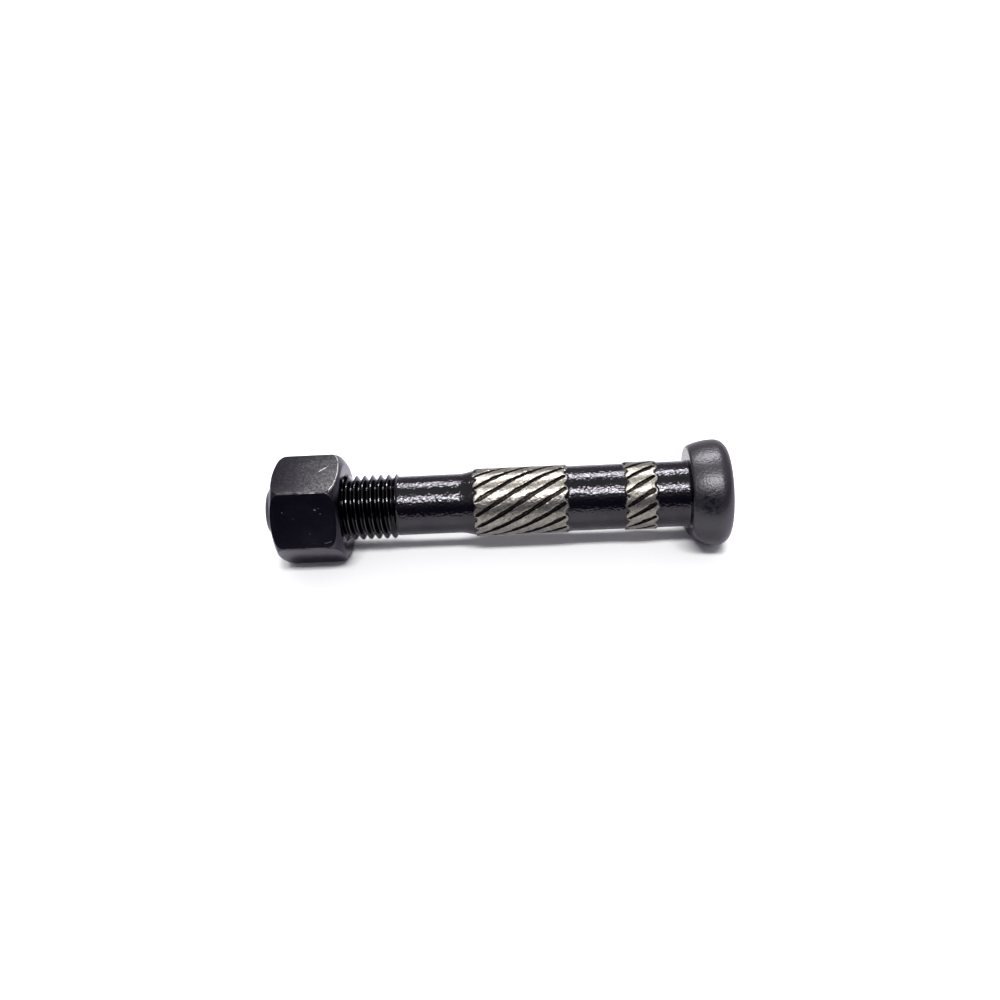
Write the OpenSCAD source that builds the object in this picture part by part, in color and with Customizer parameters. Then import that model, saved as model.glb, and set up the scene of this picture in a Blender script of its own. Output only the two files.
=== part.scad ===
// Connecting rod bolt with its hexagon nut, lying on its side.
// The bolt's axis is X. The seat under the head is the plane X = 0, the head is on the +X side
// and the shank, the knurled bands and the thread run towards -X. +Z is up.

/* [Head] */
// Diameter over the rounded rim of the head
head_d = 19.5; // [18.6:0.1:23]
// Diameter of the flat seat under the head
head_seat_d = 17.4; // [14:0.1:18.2]
// Height of the widest line of the rim above the seat
rim_height = 4.9; // [3.5:0.1:7]
// Radius of the rounded outer edge of the rim
rim_nose_r = 2.5; // [1:0.1:3.5]
// Rise of the domed outer face
dome_rise = 0.5; // [0.2:0.1:1.5]
// Gap from the shank to the relief that is rolled over one side of the seat
relief_gap = 0.15; // [0.1:0.05:1.5]
// How far the relief's arc would stand over the rim line, so that it fades out below it
relief_rise = 0.05; // [0.05:0.05:0.5]
// Turn of the relief from straight down towards the front
relief_turn = 43.3; // [0:0.1:90]

/* [Shank] */
// Diameter of the plain shank
shank_d = 12.1; // [11.6:0.05:12.4]
// Diameter of the waisted shank behind the thread
waist_d = 11; // [10.6:0.05:11.4]
// Plain length between the seat and the short knurled band
neck_len = 5.7; // [2:0.1:10]
// Plain length between the two knurled bands
plain_len = 10.4; // [3:0.1:15]
// Length of the cone from the thick shank to the waist
shoulder_len = 2.3; // [1:0.1:5]
// Length of the waist between the shoulder and the thread
waist_len = 11.6; // [5:0.1:16]
// Length of the slight swell that blends the shank into the head
swell_len = 0.8; // [0.3:0.1:2]
// Growth of the radius over the swell
swell = 0.1; // [0.05:0.05:0.1]

/* [Knurled bands] */
// Diameter over the lands between the grooves
knurl_d = 12.55; // [12.5:0.05:13.2]
// Number of grooves round the bolt
groove_count = 15; // [8:1:20]
// Width of a groove at the surface, measured round the bolt
groove_w = 0.65; // [0.5:0.05:1.1]
// Width of a groove's floor, measured round the bolt
groove_floor_w = 0.3; // [0.1:0.05:0.4]
// Height of a groove's floor above the plain shank
groove_floor_rise = 0.03; // [0.02:0.01:0.05]
// Length of one turn of a groove, left-handed
groove_lead = 66; // [40:1:120]
// Turn of the grooves about the axis, counted at the seat
groove_turn = 21.4; // [0:0.1:45]
// Length of the band beside the head
short_band_len = 5.8; // [4:0.1:12]
// Length of the band beside the waist
long_band_len = 17.1; // [8:0.1:25]

/* [Thread] */
// Diameter over the thread
thread_d = 12; // [11.8:0.05:12.2]
// Distance from crest to crest
thread_pitch = 1.5; // [1.25:0.25:1.75]
// Length from the waist to the tip
thread_len = 24.6; // [22:0.1:40]
// Diameter of the flat end of the tip
tip_d = 8.4; // [7:0.1:9.5]
// Length of the cone at the tip
tip_cone_len = 1.7; // [0.5:0.1:2]

/* [Nut] */
// Width across the flats
nut_af = 18; // [17:0.1:19]
// Height of the nut
nut_h = 12.5; // [8:0.1:13]
// Length of bare thread between the waist and the nut's seat
bare_thread = 10.15; // [8:0.05:11.5]
// Diameter of the flat face that the chamfer leaves at the nut's outer end
nut_face_d = 17.6; // [16:0.1:17.9]
// Diameter of the flat seat that the chamfer leaves at the nut's inner end
nut_seat_d = 16.6; // [15:0.1:17.9]
// Angle of the chamfer on the corners of the nut
nut_chamfer = 30; // [15:1:35]
// Width of the countersink at each end of the bore
countersink = 0.5; // [0.2:0.1:1]
// Gap all round between the crests of the thread and the bore of the nut
thread_gap = 0.05; // [0.02:0.01:0.1]

/* [Hidden] */

black_oxide = [0.16, 0.16, 0.18];
bright_steel = [0.62, 0.6, 0.58];

head_r = head_d / 2;
seat_r = head_seat_d / 2;
shank_r = shank_d / 2;
waist_r = waist_d / 2;
thread_r = thread_d / 2;
// Places along the shank, counted from the seat towards the tip
short_band_at = neck_len;
long_band_at = short_band_at + short_band_len + plain_len;
shoulder_at = long_band_at + long_band_len;
waist_at = shoulder_at + shoulder_len;
thread_at = waist_at + waist_len;
bolt_len = thread_at + thread_len;
nut_at = thread_at + bare_thread;
// Radius of an arc that starts upright at the rim line and has come in by g over the height h
function side_radius(g, h) = (g * g + h * h) / (2 * g);
side_r = side_radius(head_r - seat_r, rim_height);
relief_start = shank_r + relief_gap;
relief_top = head_r + relief_rise;
relief_r = side_radius(relief_top - relief_start, rim_height);
nose_c = head_r - rim_nose_r;
face_h = rim_height + rim_nose_r;
dome_r = side_radius(dome_rise, nose_c);
// Basic thread form: 60 degrees, crest an eighth and root a quarter of the pitch
thread_depth = 5 / 8 * thread_pitch * cos(30);
crest_w = thread_pitch / 8;
root_w = thread_pitch / 4;
flank_w = (thread_pitch - crest_w - root_w) / 2;
root_r = thread_r - thread_depth;
// The thread runs out over this length and is buried this deep in the waist
runout_len = 1.5 * thread_pitch;
buried_len = 2 * thread_pitch;
buried_r = waist_r - 0.15;
thread_sides = 32;
// Points of the thread's section in one pitch: place along the pitch and radius
thread_form = [
    [0, root_r],
    [flank_w, thread_r],
    [flank_w + crest_w, thread_r],
    [2 * flank_w + crest_w, root_r]
];
form_points = len(thread_form);
bore_r = thread_r + thread_gap;
nut_corner_r = nut_af / 2 / cos(30);
overlap = 0.5;

// Points of an arc round centre c, from angle a0 to a1
function arc(c, r, a0, a1, steps) =
    [for (k = [0:steps]) let (a = a0 + (a1 - a0) * k / steps) c + r * [cos(a), sin(a)]];

// Half section of the head, radius along x and height above the seat along y
module head_section() {
    side = arc([head_r - side_r, rim_height], side_r, -asin(rim_height / side_r), 0, 8);
    nose = arc([nose_c, rim_height], rim_nose_r, 10, 90, 8);
    dome_half = asin(nose_c / dome_r);
    dome = arc([0, face_h + dome_rise - dome_r], dome_r, 90 - dome_half * 4 / 5, 90 - dome_half / 5, 3);
    polygon(concat([[0, 0]], side, nose, dome, [[0, dome[3][1]]]));
}

// What the relief takes away: all between the seat and the rim line that is outside one arc
module relief_cut() {
    rotate([-relief_turn, 0, 0])
        difference() {
            translate([-1, -head_d, -head_d])
                cube([rim_height + 1, 2 * head_d, head_d - relief_top + relief_r]);
            translate([rim_height, 0, relief_r - relief_top])
                rotate([90, 0, 0]) cylinder(r = relief_r, h = 3 * head_d, center = true, $fn = 180);
        }
}

module head() {
    difference() {
        rotate([0, 90, 0]) rotate_extrude($fn = 180) head_section();
        relief_cut();
    }
}

// The turned core from inside the head to the start of the thread
module shank() {
    rotate([0, 90, 0])
        rotate_extrude($fn = 120)
            polygon([
                [0, overlap],
                [shank_r + swell, overlap],
                [shank_r + swell, 0],
                [shank_r, -swell_len],
                [shank_r, -shoulder_at],
                [waist_r, -waist_at],
                [waist_r, -thread_at],
                [0, -thread_at]
            ]);
}

// One tooth of the knurl's section, from the middle of one groove to the middle of the next
function angle_of(width, r) = width / r * 180 / PI;
function knurl_tooth(i) =
    let (step = 360 / groove_count,
         land_r = knurl_d / 2,
         floor_r = shank_r + groove_floor_rise,
         floor_a = angle_of(groove_floor_w, floor_r) / 2,
         edge_a = angle_of(groove_w, land_r) / 2,
         land_a = step - 2 * edge_a)
    [
        [floor_r, i * step + floor_a],
        for (k = [0:4]) [land_r, i * step + edge_a + land_a * k / 4],
        [floor_r, (i + 1) * step - floor_a]
    ];

// A band of raised lands with helical grooves between them, from start to start + length
module knurled_band(start, length) {
    points = [
        for (i = [0:groove_count - 1], p = knurl_tooth(i)) p[0] * [cos(p[1]), sin(p[1])]
    ];
    // The grooves of all bands lie on the same helices
    turn = groove_turn + 90 + 360 * (start + length) / groove_lead;
    translate([-start - length, 0, 0])
        rotate([0, 90, 0])
            rotate([0, 0, turn])
                linear_extrude(height = length, twist = 360 * length / groove_lead,
                               slices = ceil(length * 60 / groove_lead))
                    polygon(points);
}

// Radius of the thread at height z above the start of its sweep, fading to nothing at the waist
function faded(r, z, z_end) =
    let (left = (z_end - z) / runout_len)
    left >= 1 ? r : min(r, buried_r + max(0, left) * (thread_r - buried_r));

// The threaded end as one closed skin. Each row follows the helix: its points climb by one pitch
// in a turn, and the last point of a row meets the first point of the row one pitch further on.
module thread_skin() {
    turns = ceil((thread_len + buried_len) / thread_pitch) + 1;
    rows = turns * form_points;
    z_end = turns * thread_pitch;
    z_fade = z_end - buried_len + thread_pitch;
    n = thread_sides;
    points = [
        for (i = [0:rows + form_points], j = [0:n - 1])
            let (form = thread_form[i % form_points],
                 z = thread_pitch * (floor(i / form_points) + j / n) + form[0],
                 r = faded(form[1], z, z_fade))
            [r * cos(360 * j / n), r * sin(360 * j / n), z],
        [0, 0, 0],
        [0, 0, z_end + 2 * thread_pitch]
    ];
    low = len(points) - 2;
    high = len(points) - 1;
    function at(i, j) = j < n ? i * n + j : (i + form_points) * n;
    faces = [
        for (i = [0:rows - 1], j = [0:n - 1])
            each [
                [at(i, j), at(i + 1, j), at(i + 1, j + 1)],
                [at(i, j), at(i + 1, j + 1), at(i, j + 1)]
            ],
        for (j = [0:n - 1]) [low, at(0, j), at(0, j + 1)],
        for (i = [0:form_points - 1]) [low, at(i + 1, 0), at(i, 0)],
        for (j = [0:n - 1]) [high, at(rows, j + 1), at(rows, j)],
        for (i = [0:form_points - 1]) [high, at(rows + i, 0), at(rows + i + 1, 0)]
    ];
    // Half a side's climb keeps every corner off the plane where the waist ends
    translate([-thread_at - z_fade + runout_len / 2 - thread_pitch / n / 2, 0, 0])
        rotate([0, 90, 0]) polyhedron(points = points, faces = faces, convexity = 10);
}

// The blank that the thread is cut from: a flat tip, its cone, and a plain rod
module thread_blank() {
    rotate([0, 90, 0])
        rotate_extrude($fn = 120)
            polygon([
                [0, -bolt_len],
                [tip_d / 2, -bolt_len],
                [thread_r + overlap, -bolt_len + tip_cone_len * (thread_r + overlap - tip_d / 2)
                    / (thread_r - tip_d / 2)],
                [thread_r + overlap, -thread_at + buried_len],
                [0, -thread_at + buried_len]
            ]);
}

module bolt() {
    color(black_oxide) {
        head();
        shank();
        intersection() {
            thread_skin();
            thread_blank();
        }
    }
    color(bright_steel) {
        knurled_band(short_band_at, short_band_len);
        knurled_band(long_band_at, long_band_len);
    }
}

// Section of the hexagon's envelope, both ends chamfered: radius along x, the seat at the top
module nut_envelope_section() {
    outer_drop = (nut_corner_r - nut_face_d / 2) * tan(nut_chamfer);
    seat_drop = (nut_corner_r - nut_seat_d / 2) * tan(nut_chamfer);
    polygon([
        [0, 0],
        [nut_face_d / 2, 0],
        [nut_corner_r, outer_drop],
        [nut_corner_r, nut_h - seat_drop],
        [nut_seat_d / 2, nut_h],
        [0, nut_h]
    ]);
}

// The bore with a countersink at each end
module nut_bore_section() {
    polygon([
        [0, -1],
        [bore_r + countersink + 1, -1],
        [bore_r, countersink],
        [bore_r, nut_h - countersink],
        [bore_r + countersink + 1, nut_h + 1],
        [0, nut_h + 1]
    ]);
}

module nut() {
    color(black_oxide)
        translate([-nut_at - nut_h, 0, 0])
            rotate([0, 90, 0])
                difference() {
                    intersection() {
                        rotate([0, 0, 30]) cylinder(r = nut_corner_r, h = nut_h, $fn = 6);
                        rotate_extrude($fn = 120) nut_envelope_section();
                    }
                    rotate_extrude($fn = 120) nut_bore_section();
                }
}

bolt();
nut();
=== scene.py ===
# %% [markdown]
# A connecting rod bolt with its nut, lying on a pale table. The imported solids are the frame: they say
# how long and how thick everything is and where it sits. They hold the true shapes but plain surfaces,
# so this script remakes both pieces with their fine detail (the rolled thread, the ground lands of the
# knurl, the soft forged edges) and gives them their black oxide finish.

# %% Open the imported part
import math
import bpy
import numpy as np
from mathutils import Matrix, Vector


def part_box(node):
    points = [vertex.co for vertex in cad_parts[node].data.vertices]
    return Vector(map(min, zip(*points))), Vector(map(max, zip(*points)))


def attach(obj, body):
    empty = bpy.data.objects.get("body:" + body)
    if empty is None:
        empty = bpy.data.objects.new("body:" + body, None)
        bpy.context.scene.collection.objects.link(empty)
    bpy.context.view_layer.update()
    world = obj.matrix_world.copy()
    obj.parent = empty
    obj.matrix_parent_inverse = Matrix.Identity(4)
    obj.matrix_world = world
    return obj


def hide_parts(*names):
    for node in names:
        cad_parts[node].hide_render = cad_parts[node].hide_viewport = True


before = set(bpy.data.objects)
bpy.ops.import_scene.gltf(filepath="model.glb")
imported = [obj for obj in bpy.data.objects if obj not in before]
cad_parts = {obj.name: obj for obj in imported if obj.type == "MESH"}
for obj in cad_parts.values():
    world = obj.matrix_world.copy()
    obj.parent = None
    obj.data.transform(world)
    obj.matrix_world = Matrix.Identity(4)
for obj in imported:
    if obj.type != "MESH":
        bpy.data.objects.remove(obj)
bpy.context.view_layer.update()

MM = 0.001
MERGE = 0.002 * MM
bolt_low, bolt_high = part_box("bolt")
nut_low, nut_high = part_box("nut")
print("bolt from", tuple(bolt_low), "to", tuple(bolt_high))
print("nut from", tuple(nut_low), "to", tuple(nut_high))

# %% [markdown]
# The sizes that the frame can give are read from it, and the rest are the part's own driving sizes,
# in millimetres. X is the bolt's axis, the seat under the head is X = 0, and the shank runs to -X.

# %% Sizes of the bolt and the nut
HEAD_R = bolt_high.z / MM
HEAD_TOP = bolt_high.x / MM
BOLT_TIP = bolt_low.x / MM
SEAT_R = 8.7
RIM_HEIGHT = 4.9
NOSE_R = 2.5
DOME_RISE = 0.5
SHANK_R = 6.05
WAIST_R = 5.5
SHORT_BAND = (-11.5, -5.7)
LONG_BAND = (-39.0, -21.9)
SHOULDER_FOOT = -41.3
SHOULDER_TOP_RADIUS = 2.5
SHOULDER_FOOT_RADIUS = 6.0
THREAD_START = -52.9
BAND_REACH = 0.6
LAND_R = 6.275
THREAD_R = 6.0
PITCH = 1.5
TIP_R = 4.2
TIP_CONE = 1.7
NUT_OUTER = nut_low.x / MM
NUT_SEAT = nut_high.x / MM
NUT_AF = 2 * nut_high.z / MM
print("head radius %.2f, tip %.2f, nut %.2f to %.2f, across flats %.2f"
      % (HEAD_R, BOLT_TIP, NUT_OUTER, NUT_SEAT, NUT_AF))

# %% [markdown]
# Modelling starts from nothing selected, because the loaded nodes come in selected and most operators
# act on all that is. A few small helpers keep that rule, and others read and write a mesh's points as
# one array of millimetres, for the steps that move thousands of points by a formula.

# %% Helpers for modelling
def deselect():
    if bpy.context.object and bpy.context.object.mode != "OBJECT":
        bpy.ops.object.mode_set(mode="OBJECT")
    bpy.ops.object.select_all(action="DESELECT")


def pick(piece):
    deselect()
    piece.select_set(True)
    bpy.context.view_layer.objects.active = piece


def finish_modifiers(piece):
    for modifier in list(piece.modifiers):
        bpy.ops.object.modifier_apply(modifier=modifier.name)


def points_of(piece):
    co = np.zeros(len(piece.data.vertices) * 3)
    piece.data.vertices.foreach_get("co", co)
    return co.reshape(-1, 3) / MM


def set_points(piece, points):
    piece.data.vertices.foreach_set("co", (points * MM).astype(np.float32).ravel())
    piece.data.update()


def to_polar(points):
    """Radius and angle about the bolt's axis; the angle runs from +Y towards +Z."""
    return np.hypot(points[:, 1], points[:, 2]), np.arctan2(points[:, 2], points[:, 1])


def from_polar(x, radius, angle):
    return np.stack([x, radius * np.cos(angle), radius * np.sin(angle)], 1)


def smooth_step(t):
    t = np.clip(t, 0, 1)
    return t * t * (3 - 2 * t)


def soft_min(a, b, blend):
    """The smaller of two values, rounded off where they are within the blend of each other."""
    h = np.clip(0.5 + 0.5 * (b - a) / blend, 0, 1)
    return b * (1 - h) + a * h - blend * h * (1 - h)


# %% [markdown]
# Everything here is round, so most of it begins as on a lathe: one vertex is extruded from point to
# point along half of the outline, and that chain is spun about the axis. Stacked cylinders would leave
# steps where a real blank has radii.

# %% Chains and turned bodies
def chain(name, outline):
    """A new object in edit mode: one vertex extruded along an outline of (x, radius) points."""
    deselect()
    bpy.ops.mesh.primitive_plane_add(size=MM)
    piece = bpy.context.object
    piece.name = name
    bpy.ops.object.mode_set(mode="EDIT")
    bpy.ops.mesh.select_mode(type="VERT")
    bpy.ops.mesh.merge(type="CENTER")
    bpy.ops.transform.translate(value=(outline[0][0] * MM, 0, outline[0][1] * MM))
    for (x0, r0), (x1, r1) in zip(outline, outline[1:]):
        move = ((x1 - x0) * MM, 0, (r1 - r0) * MM)
        bpy.ops.mesh.extrude_vertices_move(TRANSFORM_OT_translate={"value": move})
    return piece


def lathe(name, outline, steps):
    """The chain spun round the axis, with its doubles merged."""
    piece = chain(name, outline)
    bpy.ops.mesh.select_all(action="SELECT")
    bpy.ops.mesh.spin(steps=steps, angle=2 * math.pi, center=(0, 0, 0), axis=(1, 0, 0))
    bpy.ops.mesh.select_all(action="SELECT")
    bpy.ops.mesh.remove_doubles(threshold=MERGE)
    bpy.ops.mesh.normals_make_consistent(inside=False)
    bpy.ops.object.mode_set(mode="OBJECT")
    return piece


# %% [markdown]
# The head, the shank and the waist are one outline. The head is a low dome, a round nose and a hollow
# side that runs in to the narrower seat, whose outer edge and inner corner are slightly rounded. Along
# the shank the points lie close together only near the ends of the two knurled bands, where the grooves
# need them. The waist stops a little short of the thread, to which it is joined later.

# %% Half outline of the turned blank
DOME_STEPS = 12
NOSE_STEPS = 18
SIDE_STEPS = 24
SEAT_EDGE = ((0.1, 0.03), (0.02, 0.12))
SEAT_FLAT = 0.25
SEAT_ROW = 0.2
SEAT_ROWS = 11
SEAT_CORNER = ((0.0, 0.35), (-0.05, 0.14), (-0.2, 0.08))
SHANK_TOP = -0.8
PLAIN_ROW = 1.0
FINE_ROW = 0.11
MIDDLE_ROW = 0.4
WAIST_ROW = 0.8
FINE_OUTSIDE = 0.7
FINE_INSIDE = 1.8
CONE_ROWS = (0.08, 0.16, 0.24, 0.6)
THREAD_GAP = 0.4


def arc(cx, cr, radius, start, end, steps):
    angles = [math.radians(start + (end - start) * k / steps) for k in range(steps + 1)]
    return [(cx + radius * math.sin(a), cr + radius * math.cos(a)) for a in angles]


def rows(x0, x1, r, step):
    n = max(1, round(abs(x1 - x0) / step))
    return [(x0 + (x1 - x0) * k / n, r) for k in range(1, n + 1)]


def head_outline():
    gap = HEAD_R - SEAT_R
    side = (gap * gap + RIM_HEIGHT * RIM_HEIGHT) / (2 * gap)
    nose_centre = HEAD_R - NOSE_R
    dome = (DOME_RISE ** 2 + nose_centre ** 2) / (2 * DOME_RISE)
    half = math.degrees(math.asin(nose_centre / dome))
    outline = [(HEAD_TOP, 0.0)]
    outline += arc(HEAD_TOP - dome, 0, dome, 90 - half / DOME_STEPS, 90 - half * 0.9, DOME_STEPS)
    outline += arc(RIM_HEIGHT, nose_centre, NOSE_R, 90, 0, NOSE_STEPS)
    foot = -math.degrees(math.asin(RIM_HEIGHT / side))
    first, last = foot / SIDE_STEPS, foot * (SIDE_STEPS - 1) / SIDE_STEPS
    outline += arc(RIM_HEIGHT, HEAD_R - side, side, first, last, SIDE_STEPS - 2)
    outline += [(x, SEAT_R - inset) for x, inset in SEAT_EDGE]
    outline += [(0.0, SEAT_R - SEAT_FLAT - SEAT_ROW * k) for k in range(SEAT_ROWS)]
    return outline + [(x, SHANK_R + rise) for x, rise in SEAT_CORNER]


def shank_outline():
    cone = math.atan((SHANK_R - WAIST_R) / (LONG_BAND[0] - SHOULDER_FOOT))
    top = LONG_BAND[0] + SHOULDER_TOP_RADIUS * math.tan(cone / 2)
    foot = SHOULDER_FOOT - SHOULDER_FOOT_RADIUS * math.tan(cone / 2)
    lean = math.degrees(cone)
    outline = [(SHANK_TOP, SHANK_R)]
    for far, near, last in ((*SHORT_BAND, SHORT_BAND[0] - BAND_REACH), (*LONG_BAND, top)):
        outline += rows(outline[-1][0], near + FINE_OUTSIDE, SHANK_R, PLAIN_ROW)
        outline += rows(near + FINE_OUTSIDE, near - FINE_INSIDE, SHANK_R, FINE_ROW)
        outline += rows(near - FINE_INSIDE, far + FINE_INSIDE, SHANK_R, MIDDLE_ROW)
        outline += rows(far + FINE_INSIDE, last, SHANK_R, FINE_ROW)
    outline += arc(top, SHANK_R - SHOULDER_TOP_RADIUS, SHOULDER_TOP_RADIUS, 0, -lean, 5)[1:]
    bottom = arc(foot, WAIST_R + SHOULDER_FOOT_RADIUS, SHOULDER_FOOT_RADIUS, 180 - lean, 180, 6)
    (x0, r0), (x1, r1) = outline[-1], bottom[0]
    outline += [(x0 + (x1 - x0) * t, r0 + (r1 - r0) * t) for t in CONE_ROWS]
    return outline + bottom + rows(foot, THREAD_START + THREAD_GAP, WAIST_R, WAIST_ROW)


TEETH = 15
STEPS_PER_TOOTH = 20
bolt = lathe("rod_bolt", head_outline() + shank_outline(), TEETH * STEPS_PER_TOOTH)
print("turned blank:", len(bolt.data.polygons), "faces")

# %% [markdown]
# Each knurled band has 15 slanting grooves. A roller presses them into the shank, the steel between
# them rises, and grinding the bolt to size leaves bright flat lands with round lobes at both ends. All
# of that follows from one rule: how far a point lies from the nearest groove's centre line. First the
# grid is twisted along the grooves and its lines are gathered at the grooves' walls, so that the edges
# of the mesh follow the edges of the steel, and then the points move in or out. The lengths of the
# grooves vary a little, and their edges waver, because rolled steel doesn't flow evenly.

# %% Roll and grind the knurled bands
LEAD = 66.0
KNURL_TURN = math.radians(21.4)
GROOVE_HALF = 0.42
GROOVE_FLOOR = 0.25
WAVER = 0.03
WAVER_FORM = ((1.3, 40), (2.9, 70))
GROOVE_DEPTH = 0.16
GROOVE_ENDS = (0.4, 0.75)
LOBE_ENDS = (1.1, 1.2)
END_SPREAD = 0.12
TAPER = 0.14
TAPER_LENGTH = 1.6
LOBE_RISE = 0.36
LOBE_BLEND = 0.4
LAND_BLEND = 0.03
LOBES = {SHORT_BAND: 0.95, LONG_BAND: 0.97}
NOTCH = 0.42
LINES_FROM_GROOVE = (0, 0.1, 0.18, 0.22, 0.27, 0.32, 0.36, 0.4, 0.55, 0.82, 1.13)
slant = math.atan(2 * math.pi * LAND_R / LEAD)
tooth_angle = 2 * math.pi / TEETH
rng = np.random.default_rng(7)


def twist_grid(x):
    """Angle by which the grid has turned at x: it follows the grooves inside the bands only."""
    turn = np.zeros_like(x)
    for far, near in (SHORT_BAND, LONG_BAND):
        turn += np.clip(near + BAND_REACH - x, 0, near - far + 2 * BAND_REACH) - near - BAND_REACH
    return turn * 2 * math.pi / LEAD


def gather_lines(x, angle):
    """Angles with the grid's lines moved towards the walls of the nearest groove."""
    phase = (angle - KNURL_TURN + 2 * math.pi * x / LEAD) / tooth_angle
    from_groove = phase - np.round(phase)
    even = np.arange(STEPS_PER_TOOTH // 2 + 1) / STEPS_PER_TOOTH
    across = np.array(LINES_FROM_GROOVE) / (2 * LINES_FROM_GROOVE[-1])
    gathered = np.sign(from_groove) * np.interp(np.abs(from_groove), even, across)
    return angle + (gathered - from_groove) * tooth_angle


def groove_distance(x, angle, far, near, insets, ends, uneven):
    """Distance on the rolled-out surface from the nearest groove's centre line, and past its ends."""
    middle = (far + near) / 2
    far_length, near_length = [((near - far) / 2 - inset) / math.cos(slant) for inset in insets]
    best = np.full_like(x, 1e9)
    for tooth in range(TEETH):
        off = angle - KNURL_TURN - tooth_angle * tooth + 2 * math.pi * middle / LEAD
        off = (off + math.pi) % (2 * math.pi) - math.pi
        for wrap in (-1, 0, 1):
            round_way = (off + 2 * math.pi * wrap) * LAND_R
            along = (x - middle) * math.cos(slant) - round_way * math.sin(slant)
            across = (x - middle) * math.sin(slant) + round_way * math.cos(slant)
            end = np.where(along > 0, near_length + ends[tooth, 0], far_length + ends[tooth, 1])
            past = np.maximum(np.abs(along) - end, 0)
            waver = sum(np.sin(along * rate + shift * ends[tooth, k])
                        for k, (rate, shift) in enumerate(WAVER_FORM))
            taper = smooth_step((TAPER_LENGTH - far_length - along) / TAPER_LENGTH)
            gap = np.hypot(past, across) + uneven * (WAVER * waver + TAPER * taper)
            best = np.minimum(best, gap)
    return best


points = points_of(bolt)
radius, angle = to_polar(points)
angle = angle + twist_grid(points[:, 0])
for far, near in (SHORT_BAND, LONG_BAND):
    inside = (points[:, 0] > far - BAND_REACH) & (points[:, 0] < near + BAND_REACH)
    x = points[inside, 0]
    angle[inside] = gather_lines(x, angle[inside])
    ends = rng.uniform(-END_SPREAD, END_SPREAD, (TEETH, 2))
    gap = groove_distance(x, angle[inside], far, near, GROOVE_ENDS, ends, 1)
    from_lobe = groove_distance(x, angle[inside], far, near, LOBE_ENDS, ends, 0)
    lobe = 1 - smooth_step((from_lobe - LOBES[far, near]) / LOBE_BLEND)
    depth_in = np.minimum(x - far, near - x)
    rise = LOBE_RISE * np.maximum(lobe, smooth_step((depth_in - NOTCH) / LOBE_BLEND))
    rise = soft_min(rise, np.full_like(rise, LAND_R - SHANK_R), LAND_BLEND)
    wall = smooth_step((GROOVE_HALF - gap) / (GROOVE_HALF - GROOVE_FLOOR))
    radius[inside] += rise * (1 - wall) - GROOVE_DEPTH * wall
set_points(bolt, from_polar(points[:, 0], radius, angle))
print("knurl: slant %.1f degrees" % math.degrees(slant))

# %% [markdown]
# On one side the head's seat is relieved: its edge is rolled over so that the head clears the rod's
# corner. Points outside the relief's arc are pulled back to it along the arc's own radius, and a soft
# minimum leaves the border as rounded as forging does.

# %% Roll the relief over one side of the head
RELIEF_TURN = math.radians(43.3)
RELIEF_START = SHANK_R + 0.15
RELIEF_TOP = HEAD_R + 0.05
RELIEF_BLEND = 0.25
relief_gap = RELIEF_TOP - RELIEF_START
relief_r = (relief_gap ** 2 + RIM_HEIGHT ** 2) / (2 * relief_gap)
points = points_of(bolt)
down = np.array([0, -math.sin(RELIEF_TURN), -math.cos(RELIEF_TURN)])
depth = points @ down
centre = RELIEF_TOP - relief_r
reach_x = RIM_HEIGHT - points[:, 0]
reach_d = depth - centre
reach = np.hypot(reach_x, reach_d)
in_zone = (points[:, 0] > -0.001) & (reach_x > 0) & (reach_d > 0)
pulled = soft_min(reach, np.full_like(reach, relief_r), RELIEF_BLEND)
scale = np.where(in_zone, pulled / np.maximum(reach, 1e-6), 1.0)
points[:, 0] = RIM_HEIGHT - reach_x * scale
points += np.outer(reach_d * (scale - 1), down)
set_points(bolt, points)
print("relief radius %.2f" % relief_r)

# %% [markdown]
# The thread is rolled: one profile, a 60 degree ridge, climbs 1.5 mm in each turn. A Screw modifier
# does just that with one pitch of the profile, from the middle of one root to the next, but it leaves
# its turns apart, so merging the doubles then welds each turn to the next. The tip's cone and the runout
# at the waist limit the radius afterwards, as the blank's own shape does under the rolling dies.

# %% Roll the thread
CREST_AT = -58.01
CREST_TURN = 46.7
CREST_RUNOUT = 0.5
ROOT_RUNOUT = 2.2
THREAD_STEPS = 96
SPARE_TURNS = 3
ROOT_ROUND = 0.11
CREST_ROUND = 0.06
EDGE_ROUND = 0.03
CONE_LEAST = 0.5
CONE_BLEND = 0.06
thread_depth = 5 / 8 * PITCH * math.cos(math.radians(30))
ROOT_R = THREAD_R - thread_depth
flank = thread_depth * math.tan(math.radians(30))
crest = PITCH / 8
root = PITCH - crest - 2 * flank
turns = math.ceil((THREAD_START - BOLT_TIP) / PITCH) + SPARE_TURNS
first = CREST_AT + PITCH * (90 - CREST_TURN) / 360 - crest / 2 - flank - root / 2
first -= PITCH * math.ceil((first - BOLT_TIP) / PITCH + SPARE_TURNS / 2)
half_form = [
    (0, ROOT_R), (root * 0.28, ROOT_R), (root * 0.44, ROOT_R + EDGE_ROUND),
    (root / 2 + 0.04, ROOT_R + ROOT_ROUND), (root / 2 + flank * 0.5, ROOT_R + thread_depth * 0.5),
    (root / 2 + flank - EDGE_ROUND, THREAD_R - CREST_ROUND), (root / 2 + flank + EDGE_ROUND, THREAD_R)]
form = half_form + [(PITCH - x, r) for x, r in reversed(half_form)]
thread = chain("rod_bolt_thread", [(first + x, r) for x, r in form])
bpy.ops.object.mode_set(mode="OBJECT")
screw = thread.modifiers.new("helix", "SCREW")
screw.axis = "X"
screw.angle = 2 * math.pi
screw.screw_offset = PITCH * MM
screw.iterations = turns
screw.steps = screw.render_steps = THREAD_STEPS
finish_modifiers(thread)
bpy.ops.object.mode_set(mode="EDIT")
bpy.ops.mesh.select_all(action="SELECT")
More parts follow.
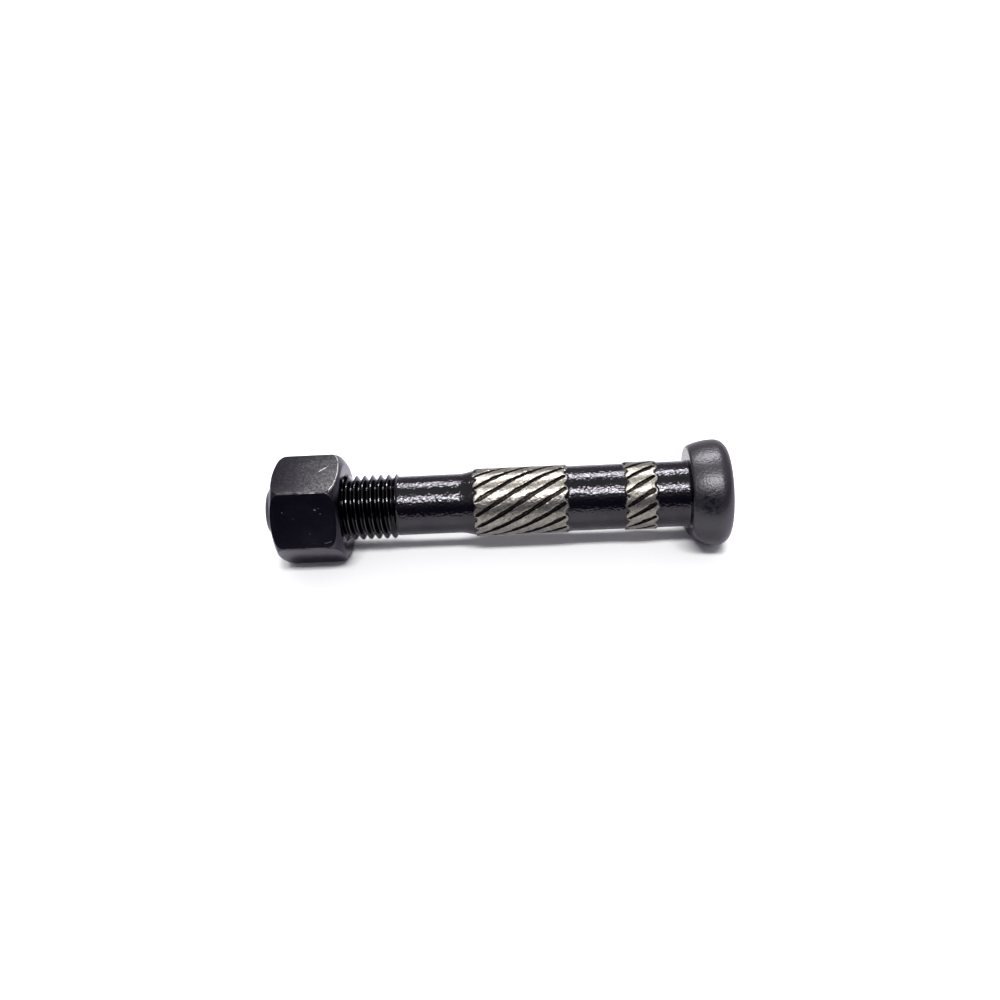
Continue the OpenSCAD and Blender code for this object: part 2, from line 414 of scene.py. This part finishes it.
bpy.ops.mesh.remove_doubles(threshold=MERGE)
bpy.ops.object.mode_set(mode="OBJECT")
print("thread: %d turns from %.2f mm" % (turns, first))

# %% Cut the thread to length and shape its ends
points = points_of(thread)
radius, angle = to_polar(points)
cone = TIP_R + (points[:, 0] - BOLT_TIP) * (THREAD_R - TIP_R) / TIP_CONE
radius = soft_min(radius, np.maximum(cone, CONE_LEAST), CONE_BLEND)
runout = np.where(radius > WAIST_R, CREST_RUNOUT, ROOT_RUNOUT)
fade = smooth_step((THREAD_START - points[:, 0]) / runout)
radius = WAIST_R + (radius - WAIST_R) * fade
set_points(thread, from_polar(points[:, 0], radius, angle))
bpy.ops.object.mode_set(mode="EDIT")
for place, side, close in ((BOLT_TIP, -1, True), (THREAD_START, 1, False)):
    bpy.ops.mesh.select_all(action="SELECT")
    bpy.ops.mesh.bisect(plane_co=(place * MM, 0, 0), plane_no=(side, 0, 0), clear_outer=True,
                        use_fill=close, threshold=0.0005 * MM)
bpy.ops.object.mode_set(mode="OBJECT")
print("thread cut:", len(thread.data.polygons), "faces")

# %% [markdown]
# Blank and thread are one piece of steel, so their two open rims are bridged into one closed skin. Only
# the rims have edges with a single face, which is how they are found. Afterwards no such edge may be
# left, and their number is printed.

# %% Join the thread to the waist
pick(bolt)
thread.select_set(True)
bpy.ops.object.join()
bpy.ops.object.mode_set(mode="EDIT")
bpy.ops.mesh.select_mode(type="EDGE")
bpy.ops.mesh.select_all(action="DESELECT")
bpy.ops.mesh.select_non_manifold(extend=False, use_wire=False, use_boundary=True, use_multi_face=False,
                                 use_non_contiguous=False, use_verts=False)
bpy.ops.mesh.bridge_edge_loops()
bpy.ops.mesh.select_all(action="SELECT")
bpy.ops.mesh.normals_make_consistent(inside=False)
bpy.ops.mesh.select_all(action="DESELECT")
bpy.ops.mesh.select_non_manifold(extend=False)
bpy.ops.object.mode_set(mode="OBJECT")
print("edges of the bolt that are not closed:", sum(edge.select for edge in bolt.data.edges))

# %% [markdown]
# The nut is hexagon bar, cut off and turned at both ends, so the cone of the lathe tool meets the six
# flats in curved arcs. A six-sided prism crossed with a turned body gives exactly those arcs. The
# turned body's shoulders are round, because the corners of this nut have been knocked about, and a
# narrow bevel stands for the tumbled edges. The bore is plain, because the thread fills it.

# %% Turn and drill the nut
OUTER_FACE_R = 8.8
SEAT_FACE_R = 8.3
CHAMFER_TOP_R = 9.46
CHAMFER = math.radians(30)
SHOULDER_R = 1.5
SHOULDER_STEP = 8
SHOULDER_END = 70
CORNER_BEVEL = 0.2
BORE_R = 6.06
COUNTERSINK = 0.3
corner_r = NUT_AF / 2 / math.cos(math.radians(30))


def shoulder(face_r):
    """Depth and radius along the turned shoulder, from the chamfer's slope round to a steep one."""
    chamfer_depth = (CHAMFER_TOP_R - face_r) * math.tan(CHAMFER)
    line = [(0.0, face_r), (chamfer_depth, CHAMFER_TOP_R)]
    for k in range(1, 6):
        lean = CHAMFER + math.radians(SHOULDER_STEP * k)
        line.append((chamfer_depth + SHOULDER_R * (math.cos(CHAMFER) - math.cos(lean)),
                     CHAMFER_TOP_R + SHOULDER_R * (math.sin(lean) - math.sin(CHAMFER))))
    depth_end, r_end = line[-1]
    r_out = corner_r + 0.4
    return line + [(depth_end + (r_out - r_end) * math.tan(math.radians(SHOULDER_END)), r_out)]


def cross(piece, tool, operation):
    """Boolean of a piece with a tool, which is then thrown away."""
    pick(piece)
    modifier = piece.modifiers.new("cut", "BOOLEAN")
    modifier.operation = operation
    modifier.solver = "EXACT"
    modifier.object = tool
    finish_modifiers(piece)
    bpy.data.objects.remove(tool, do_unlink=True)


deselect()
bpy.ops.mesh.primitive_cylinder_add(
    vertices=6, radius=corner_r * MM, depth=(NUT_SEAT - NUT_OUTER + 2) * MM,
    location=((NUT_SEAT + NUT_OUTER) / 2 * MM, 0, 0), rotation=(0, math.pi / 2, 0))
nut = bpy.context.object
nut.name = "hex_nut"
bpy.ops.object.transform_apply(location=True, rotation=True, scale=True)
points = points_of(nut)
radius, angle = to_polar(points)
set_points(nut, from_polar(points[:, 0], radius, np.round(np.degrees(angle) / 60) * math.pi / 3))
for edge in nut.data.edges:
    edge.select = abs(points[edge.vertices[0], 0] - points[edge.vertices[1], 0]) > 1
bpy.ops.object.mode_set(mode="EDIT")
bpy.ops.mesh.select_mode(type="EDGE")
bpy.ops.mesh.bevel(offset=CORNER_BEVEL * MM, segments=4)
bpy.ops.object.mode_set(mode="OBJECT")
outer_half = [(NUT_OUTER + d, r) for d, r in shoulder(OUTER_FACE_R)]
seat_half = [(NUT_SEAT - d, r) for d, r in reversed(shoulder(SEAT_FACE_R))]
envelope = lathe("nut_envelope", [(NUT_OUTER, 0)] + outer_half + seat_half + [(NUT_SEAT, 0)], 192)
cross(nut, envelope, "INTERSECT")
bore = lathe("nut_bore", [
    (NUT_SEAT + 1, 0), (NUT_SEAT + 1, BORE_R + COUNTERSINK + 1), (NUT_SEAT - COUNTERSINK, BORE_R),
    (NUT_OUTER + COUNTERSINK, BORE_R), (NUT_OUTER - 1, BORE_R + COUNTERSINK + 1), (NUT_OUTER - 1, 0)], 144)
cross(nut, bore, "DIFFERENCE")
print("nut:", len(nut.data.polygons), "faces")

# %% Soften the nut's edges
EDGE_WIDTH = 0.12
EDGE_ANGLE = math.radians(24)
pick(nut)
bevel = nut.modifiers.new("edges", "BEVEL")
bevel.width = EDGE_WIDTH * MM
bevel.segments = 3
bevel.limit_method = "ANGLE"
bevel.angle_limit = EDGE_ANGLE
finish_modifiers(nut)

# %% [markdown]
# Smooth shading is limited by angle, so that the ridges, the nut's edges and the seat stay crisp.

# %% Shade both pieces
for piece, limit in ((bolt, 40), (nut, 30)):
    pick(piece)
    bpy.ops.object.shade_smooth_by_angle(angle=math.radians(limit))
    triangles = sum(len(p.vertices) - 2 for p in piece.data.polygons)
    print(piece.name, "has", triangles, "triangles")

# %% [markdown]
# A material is a recipe of nodes. Written as Python expressions it reads like the sums it stands for:
# the class below wraps one socket, and adding or multiplying two of them adds the Math node. Anything
# else, such as noise or a ramp, comes from one method that takes the node's type and its values.

# %% Expressions for shader nodes
class Value:
    def __init__(self, recipe, socket):
        self.recipe = recipe
        self.socket = socket

    def maths(self, operation, *others):
        return self.recipe.node("ShaderNodeMath", {"operation": operation},
                                **{str(i): v for i, v in enumerate((self, *others))})

    def __add__(self, other):
        return self.maths("ADD", other)

    def __sub__(self, other):
        return self.maths("SUBTRACT", other)

    def __rsub__(self, other):
        return self.recipe.node("ShaderNodeMath", {"operation": "SUBTRACT"}, **{"0": other, "1": self})

    def __mul__(self, other):
        return self.maths("MULTIPLY", other)

    def __pow__(self, other):
        return self.maths("POWER", other)

    __radd__ = __add__
    __rmul__ = __mul__

    def between(self, low, high):
        """0 below low, 1 above high, and a smooth rise in between."""
        return self.recipe.node("ShaderNodeMapRange", {"interpolation_type": "SMOOTHSTEP"},
                                Value=self, **{"From Min": low, "From Max": high})

    def window(self, low, rise_end, fall_start, high):
        """0 outside low to high, 1 between the two middle values, and smooth in between."""
        return self.between(low, rise_end) * (1 - self.between(fall_start, high))

    def vector(self, operation, *others, out=0, **named):
        """A Vector Math node on this vector; out=1 gives the number of a length or a dot product."""
        return self.recipe.node("ShaderNodeVectorMath", {"operation": operation}, out=out,
                                **{str(i): v for i, v in enumerate((self, *others))}, **named)


class Recipe:
    def __init__(self, name):
        self.material = bpy.data.materials.new(name)
        self.material.use_nodes = True
        self.tree = self.material.node_tree
        self.tree.nodes.clear()
        self.output = self.tree.nodes.new("ShaderNodeOutputMaterial")

    def node(self, kind, settings=None, out=0, **sockets):
        node = self.tree.nodes.new(kind)
        for key, value in (settings or {}).items():
            setattr(node, key, value)
        for key, value in sockets.items():
            target = node.inputs[int(key)] if key.isdigit() else node.inputs[key]
            if isinstance(value, Value):
                self.tree.links.new(value.socket, target)
            else:
                target.default_value = value
        return Value(self, node.outputs[out])

    def colour(self, low, high, factor):
        """A colour between two, by a factor."""
        node = self.tree.nodes.new("ShaderNodeMix")
        node.data_type = "RGBA"
        self.tree.links.new(factor.socket, node.inputs[0])
        for target, value in ((node.inputs[6], low), (node.inputs[7], high)):
            if isinstance(value, Value):
                self.tree.links.new(value.socket, target)
            else:
                target.default_value = (*value, 1)
        return Value(self, node.outputs[2])

    def place(self, stretch=(1, 1, 1)):
        """Object coordinates in millimetres, stretched along the axes."""
        coordinates = self.node("ShaderNodeTexCoord", out=3)
        return self.node("ShaderNodeMapping", Vector=coordinates,
                         Scale=tuple(1 / MM / s for s in stretch))

    def axes(self, place):
        """The three coordinates and the distance from the bolt's axis."""
        parts = self.node("ShaderNodeSeparateXYZ", Vector=place)
        x, y, z = (Value(self, socket) for socket in parts.socket.node.outputs)
        return x, y, z, (y * y + z * z) ** 0.5

    def noise(self, place, size, detail=4.0, roughness=0.55):
        """Noise whose lumps are about size millimetres across."""
        return self.node("ShaderNodeTexNoise", Vector=place, Scale=1 / size, Detail=detail,
                         Roughness=roughness)

    def cells(self, place, size):
        """Round dimples about size millimetres across: the distance from the nearest cell's middle."""
        return self.node("ShaderNodeTexVoronoi", {"feature": "SMOOTH_F1"}, Vector=place, Scale=1 / size,
                         Smoothness=0.4)

    def streak(self, place, start, end, width):
        """1 on a straight mark from start to end, 0 away from it."""
        start, end = Vector(start), Vector(end)
        run = end - start
        offset = place.vector("SUBTRACT", tuple(start))
        along = offset.vector("DOT_PRODUCT", tuple(run / run.length_squared), out=1)
        held = along.maths("MAXIMUM", 0.0).maths("MINIMUM", 1.0)
        foot = self.node("ShaderNodeCombineXYZ", X=held * run.x, Y=held * run.y, Z=held * run.z)
        gap = offset.vector("SUBTRACT", foot).vector("LENGTH", out=1)
        return 1 - gap.between(width * 0.3, width)

    def bump(self, height, distance, under=None):
        sockets = {"Height": height, "Strength": 1.0, "Distance": distance * MM}
        if under is not None:
            sockets["Normal"] = under
        return self.node("ShaderNodeBump", **sockets)

    def finish(self, **sockets):
        shader = self.node("ShaderNodeBsdfPrincipled", **sockets)
        self.tree.links.new(shader.socket, self.output.inputs["Surface"])
        return self.material


# %% [markdown]
# Black oxide is a thin dark skin on steel, neither paint nor bare metal. It keeps a metal's reflection
# but takes most of it away, a little less of the violet. The grain of the steel under it breaks every
# highlight into specks, so the bump matters more here than the colour. A specular tint under 1 keeps the
# skin dark at a grazing angle, where a clean metal would turn white.

# %% Black oxide
GRAZING_TINT = (0.72, 0.7, 0.75, 1)


def oxide_finish(recipe, place, dark, light, grain_height, wave_height, polish, calm=0.0):
    """Colour, roughness and normal of the black oxide; where calm is near 1 there is little grain."""
    cloud = recipe.noise(place, 5.0)
    colour = recipe.colour(dark, light, cloud.between(0.35, 0.65))
    roughness = polish + cloud * 0.08
    waves = recipe.noise(place, 2.6, detail=2.0, roughness=0.5)
    dimples = recipe.cells(place, 0.4)
    grain = recipe.noise(place, 0.42, detail=1.0)
    normal = recipe.bump(waves, wave_height)
    normal = recipe.bump((dimples * 0.35 + grain) * (1 - calm), grain_height, under=normal)
    return colour, roughness, normal


# %% [markdown]
# The lands of the knurl were ground after blackening, or rubbed bright by the rod. They are masked by
# radius: only steel that stands higher than the shank is bright, so the mask ends where the shape does.
# The groove floors between them have painted shade with a brown cast of old oil, darker and duller
# than the oxide. The thread is the darkest and has worn crests, and the head is paler and duller than
# the shank, with a few stains on one side.

# %% Finish of the bolt
BOLT_DARK = (0.029, 0.0275, 0.031)
BOLT_LIGHT = (0.035, 0.0335, 0.037)
GROUND_DULL = (0.15, 0.14, 0.128)
GROUND_BRIGHT = (0.25, 0.235, 0.215)
GROUND_MOTTLE = (0.162, 0.15, 0.129)
GROUND_PIT = (0.08, 0.072, 0.062)
# Painted shade with a brown cast of old oil for the groove floors, and lighter specks in it.
GROOVE_SHADE_AND_OIL = (0.009, 0.0075, 0.007)
GROOVE_SPECK = (0.045, 0.038, 0.032)
THREAD_OXIDE = (0.013, 0.0125, 0.015)
WORN_CREST = (0.038, 0.037, 0.038)
TIP_OXIDE = (0.033, 0.033, 0.026)
HEAD_SIDE = (0.045, 0.0435, 0.047)
HEAD_END = (0.068, 0.065, 0.074)
STAIN = (0.02, 0.019, 0.023)
STAIN_X = (0.8, 2.2, 3.8, 5.0)
STAIN_Z = (2.4, 3.8, 5.6, 6.9)
LAND_STARTS = 0.6
GROOVE_SHADE_STARTS = -0.2
BAND_FADE = 0.2


def in_bands(x, reach):
    """1 in both knurled bands, fading to 0 at reach millimetres beyond their ends."""
    short, long = [x.window(far - reach, far - reach + BAND_FADE, near + reach - BAND_FADE, near + reach)
                   for far, near in (SHORT_BAND, LONG_BAND)]
    return short + long


def bolt_material():
    recipe = Recipe("bolt_oxide_and_ground_lands")
    place = recipe.place()
    x, y, z, radius = recipe.axes(place)
    threaded = 1 - x.between(THREAD_START - 0.8, THREAD_START - 0.4)
    head = x.between(-0.2, 0.4)
    colour, roughness, normal = oxide_finish(
        recipe, place, BOLT_DARK, BOLT_LIGHT, grain_height=0.062, wave_height=0.04, polish=0.09,
        calm=threaded * 0.7 + head * 0.3)
    speckle = recipe.noise(place, 0.16, detail=3.0, roughness=0.7)
    high = (radius + speckle * 0.05).between(LAND_R - 0.07, LAND_R - 0.03)
    land = in_bands(x, LAND_STARTS) * high
    # Painted shade with a brown cast of old oil on the groove floors, which lie below the shank's radius.
    groove_shade_and_oil = in_bands(x, GROOVE_SHADE_STARTS) * (1 - radius.between(SHANK_R - 0.1, SHANK_R - 0.03))
    pits = recipe.noise(place, 0.26, detail=2.0).between(0.57, 0.64)
    crest_wear = threaded * radius.between(THREAD_R - 0.05, THREAD_R - 0.01)
    lines = recipe.noise(recipe.place(stretch=(1.5, 0.08, 0.08)), 1.0)
    mottle = recipe.noise(place, 0.9, detail=3.0, roughness=0.65).between(0.4, 0.62)
    ground = recipe.colour(GROUND_DULL, GROUND_BRIGHT, lines.between(0.3, 0.7))
    ground = recipe.colour(ground, GROUND_MOTTLE, mottle)
    ground = recipe.colour(ground, GROUND_PIT, pits)
    colour = recipe.colour(colour, GROOVE_SHADE_AND_OIL, groove_shade_and_oil)
    colour = recipe.colour(colour, GROOVE_SPECK, groove_shade_and_oil * pits)
    colour = recipe.colour(colour, THREAD_OXIDE, threaded)
    colour = recipe.colour(colour, WORN_CREST, crest_wear)
    colour = recipe.colour(TIP_OXIDE, colour, x.between(BOLT_TIP + 0.3, BOLT_TIP + TIP_CONE))
    colour = recipe.colour(colour, ground, land)
    colour = recipe.colour(colour, HEAD_SIDE, head)
    colour = recipe.colour(colour, HEAD_END, x.between(RIM_HEIGHT - 1, HEAD_TOP - 0.5))
    blots = recipe.noise(place, 0.8, detail=2.0).between(0.45, 0.6)
    colour = recipe.colour(colour, STAIN, x.window(*STAIN_X) * z.window(*STAIN_Z) * blots)
    roughness = roughness + head * 0.25
    roughness = roughness * (1 - land) + (0.23 + mottle * 0.1 + speckle * 0.16) * land + groove_shade_and_oil * 0.3
    return recipe.finish(**{"Base Color": colour, "Metallic": 1.0, "Roughness": roughness,
                            "Normal": normal, "Specular Tint": GRAZING_TINT})


# %% [markdown]
# The nut is blackened like the bolt, with a finer grain, a duller shine and a bluer cast. Spanners have
# rubbed it: its long edges show steel in places and a few scratches catch the light. The upper flat has
# painted shade, with more of it on its near side towards the seat, and fine specks, partly wear and partly
# painted glints, lie thickest on it. Each mark is a short line between two points of a face, given with
# its width and its brightness.

# %% Finish of the nut
NUT_DARK = (0.026, 0.024, 0.032)
NUT_LIGHT = (0.035, 0.033, 0.041)
# Painted shade on the upper flat, and more painted shade on its near side towards the seat.
UPPER_FLAT_SHADE = (0.021, 0.0195, 0.025)
SEAT_END_SHADE = (0.009, 0.0085, 0.01)
# Specks that are partly wear and partly painted glints, thickest on the upper flat.
NUT_SPECK_AND_GLINT = (0.043, 0.043, 0.042)
NUT_EDGE = (0.07, 0.07, 0.065)
NUT_ARC = (0.3, 0.3, 0.29)
ARC_BEND = 0.8
MARKS = (
    ((-66.85, 0.5, 9.0), (-65.36, 1.72, 9.0), 0.07, 0.45),
    ((-67.2, -6.76, 6.29), (-67.1, -6.8, 6.22), 0.2, 0.3),
    ((-66.6, -6.66, 6.47), (-66.4, -6.66, 6.47), 0.12, 0.2),
    ((-66.2, -7.15, 5.61), (-66.1, -7.2, 5.53), 0.13, 0.2),
    ((-73.1, -6.9, 6.05), (-73.0, -6.95, 5.96), 0.12, 0.2),
    ((-68.45, -8.95, 2.5), (-68.4, -8.98, 2.45), 0.12, 0.2),
    ((-71.3, -7.5, 5.0), (-71.2, -7.52, 4.98), 0.14, 0.12),
    ((-65.87, -9.91, 0.84), (-64.6, -9.75, 1.12), 0.1, 0.14),
)


def nut_material():
    recipe = Recipe("nut_oxide")
    place = recipe.place()
    x, y, z, radius = recipe.axes(place)
    colour, roughness, normal = oxide_finish(
        recipe, place, NUT_DARK, NUT_LIGHT, grain_height=0.012, wave_height=0.008, polish=0.19)
    fine = recipe.noise(place, 0.24, detail=3.0, roughness=0.7)
    patch = recipe.noise(place, 1.6)
    upper = z.between(NUT_AF / 2 - 0.3, NUT_AF / 2 - 0.1)
    # Fine specks, partly wear and partly painted glints, crowd on the upper flat.
    speck_crowding = upper * x.between(NUT_OUTER + 1, NUT_SEAT - 3) * 0.07 + patch * 0.06
    seat_end_shade = upper * x.between(NUT_OUTER + 3, NUT_SEAT - 2) * (1 - y.between(-3.0, 7.0))
    specks_and_glints = (fine + speck_crowding).between(0.58, 0.64) * (upper * 0.75 + 0.25) * (1 - seat_end_shade * 0.4)
    roughness = roughness + upper * 0.08
    # The upper flat gets painted shade, and its near side towards the seat gets more of it.
    colour = recipe.colour(colour, UPPER_FLAT_SHADE, upper)
    colour = recipe.colour(colour, SEAT_END_SHADE, seat_end_shade)
    edge_wear = radius.between(corner_r - 0.16, corner_r - 0.08) * patch.between(0.4, 0.6)
    colour = recipe.colour(colour, NUT_SPECK_AND_GLINT, specks_and_glints)
    colour = recipe.colour(colour, NUT_EDGE, edge_wear)
    beyond = (radius - CHAMFER_TOP_R).maths("MAXIMUM", 0.0)
    arc_depth = (radius - SEAT_FACE_R) * math.tan(CHAMFER) + beyond * beyond * ARC_BEND
    from_arc = (arc_depth + x - NUT_SEAT).maths("ABSOLUTE")
    arc_wear = (1 - from_arc.between(0.02, 0.09)) * upper * fine.between(0.4, 0.5)
    colour = recipe.colour(colour, NUT_ARC, arc_wear)
    for start, end, width, bright in MARKS:
        mark = recipe.streak(place, start, end, width) * fine.between(0.4, 0.52)
        colour = recipe.colour(colour, (bright, bright, bright), mark)
        roughness = roughness + mark * 0.2
    return recipe.finish(**{"Base Color": colour, "Metallic": 1.0, "Roughness": roughness,
                            "Normal": normal, "Specular Tint": GRAZING_TINT})


for piece, material, body, slot in ((bolt, bolt_material(), "bolt", "bolt_steel"),
                                    (nut, nut_material(), "nut", "nut_steel")):
    piece.data.materials.clear()
    piece.data.materials.append(material)
    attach(piece, body)
    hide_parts(body)

# %% [markdown]
# The bolt lies as it would come to rest: on the rim of its head and the outer edge of the nut's lower
# flat. The head is the thicker of the two, so the table is not quite square to the bolt's axis.

# %% The table
TABLE_COLOUR = (0.75, 0.75, 0.75, 1)
TABLE_ROUGHNESS = 0.6
TABLE_SIZE = 3.0
TABLE_MIDDLE = -35.0
TABLE_CLEAR = 0.02
FLAT_STARTS = 0.8
rest_head = (RIM_HEIGHT, -HEAD_R)
rest_nut = (NUT_OUTER + FLAT_STARTS, -NUT_AF / 2)
tilt = math.atan2(rest_head[1] - rest_nut[1], rest_head[0] - rest_nut[0])
table_z = rest_nut[1] + (TABLE_MIDDLE - rest_nut[0]) * math.tan(tilt) - TABLE_CLEAR
deselect()
bpy.ops.mesh.primitive_plane_add(size=TABLE_SIZE, location=(TABLE_MIDDLE * MM, 0, table_z * MM),
                                 rotation=(0, -tilt, 0))
table = bpy.context.object
table.name = "table"
bpy.ops.object.transform_apply(location=True, rotation=True, scale=True)
paint = bpy.data.materials.new("pale_table")
paint.use_nodes = True
paint.node_tree.nodes["Principled BSDF"].inputs["Base Color"].default_value = TABLE_COLOUR
paint.node_tree.nodes["Principled BSDF"].inputs["Roughness"].default_value = TABLE_ROUGHNESS
table.data.materials.append(paint)
print("table tilt %.2f degrees" % math.degrees(tilt))

# %% [markdown]
# Two strip lights hang over the bolt, parallel to it, and make the two long highlights on every round
# part. A metal shows what surrounds it, so the room matters too: pale overhead and dark at eye level
# on the camera's side, which is the near-black band below the highlights.

# %% Lights
STRIP_AWAY = 0.6
STRIP_MIDDLE = -0.02
STRIP_LENGTH = 0.34
STRIP_WIDTH = 0.07
STRIP_POWER = 4.2
DARK_ROOM = (0.09, 0.08, 0.17, 1)
PALE_ROOM = (0.7, 0.69, 0.72, 1)
BACKDROP = (0.93, 0.93, 0.94, 1)
for name, elevation in (("strip_front", math.radians(67)), ("strip_back", math.radians(127))):
    deselect()
    bpy.ops.object.light_add(
        type="AREA", rotation=(math.pi / 2 - elevation, 0, 0),
        location=(STRIP_MIDDLE, -math.cos(elevation) * STRIP_AWAY, math.sin(elevation) * STRIP_AWAY))
    lamp = bpy.context.object
    lamp.name = name
    lamp.data.shape = "RECTANGLE"
    lamp.data.size = STRIP_LENGTH
    lamp.data.size_y = STRIP_WIDTH
    lamp.data.energy = STRIP_POWER

# %% The room that the steel reflects
ROOM_LEAN = math.radians(35)
ROOM_RISE = (-0.1, 0.5)
world = bpy.data.worlds.new("studio")
bpy.context.scene.world = world
world.use_nodes = True
nodes, links = world.node_tree.nodes, world.node_tree.links
nodes.clear()
looking = nodes.new("ShaderNodeTexCoord")
lean = nodes.new("ShaderNodeVectorMath")
lean.operation = "DOT_PRODUCT"
lean.inputs[1].default_value = (0, math.sin(ROOM_LEAN), math.cos(ROOM_LEAN))
rise = nodes.new("ShaderNodeMapRange")
rise.interpolation_type = "SMOOTHSTEP"
rise.inputs["From Min"].default_value = ROOM_RISE[0]
rise.inputs["From Max"].default_value = ROOM_RISE[1]
room = nodes.new("ShaderNodeMix")
room.data_type = "RGBA"
room.inputs[6].default_value = DARK_ROOM
room.inputs[7].default_value = PALE_ROOM
seen = nodes.new("ShaderNodeLightPath")
shown = nodes.new("ShaderNodeMix")
shown.data_type = "RGBA"
shown.inputs[7].default_value = BACKDROP
back = nodes.new("ShaderNodeBackground")
out = nodes.new("ShaderNodeOutputWorld")
links.new(looking.outputs["Generated"], lean.inputs[0])
links.new(lean.outputs["Value"], rise.inputs["Value"])
links.new(rise.outputs[0], room.inputs[0])
links.new(seen.outputs["Is Camera Ray"], shown.inputs[0])
links.new(room.outputs[2], shown.inputs[6])
links.new(shown.outputs[2], back.inputs["Color"])
links.new(back.outputs[0], out.inputs["Surface"])

# %% [markdown]
# The camera stands where the photograph was taken, close to the bolt, so the near parts look larger.

# %% Camera
ELEVATION = math.radians(43.3)
CAMERA_X = -25.9
CAMERA_AWAY = 181.4
YAW = -0.0471
NOD = 0.0014
ROLL = -0.0437
LENS_IN_WIDTHS = 0.97581
SENSOR = 36
deselect()
bpy.ops.object.camera_add()
camera = bpy.context.object
bpy.context.scene.camera = camera
camera.data.sensor_width = SENSOR
camera.data.lens = LENS_IN_WIDTHS * SENSOR
camera.data.clip_start = 0.005
camera.data.clip_end = 10
side = Vector((1, 0, 0))
ahead = Vector((0, math.cos(ELEVATION), -math.sin(ELEVATION)))
above = Vector((0, math.sin(ELEVATION), math.cos(ELEVATION)))
look = (side * math.sin(YAW) + ahead * math.cos(YAW)) * math.cos(NOD) + above * math.sin(NOD)
level = side * math.cos(YAW) - ahead * math.sin(YAW)
right = level * math.cos(ROLL) + level.cross(look) * math.sin(ROLL)
turn = Matrix((right, right.cross(look), -look)).transposed()
camera.matrix_world = Matrix.Translation(side * CAMERA_X * MM - ahead * CAMERA_AWAY * MM) @ turn.to_4x4()
bpy.context.scene.view_settings.view_transform = "Standard"
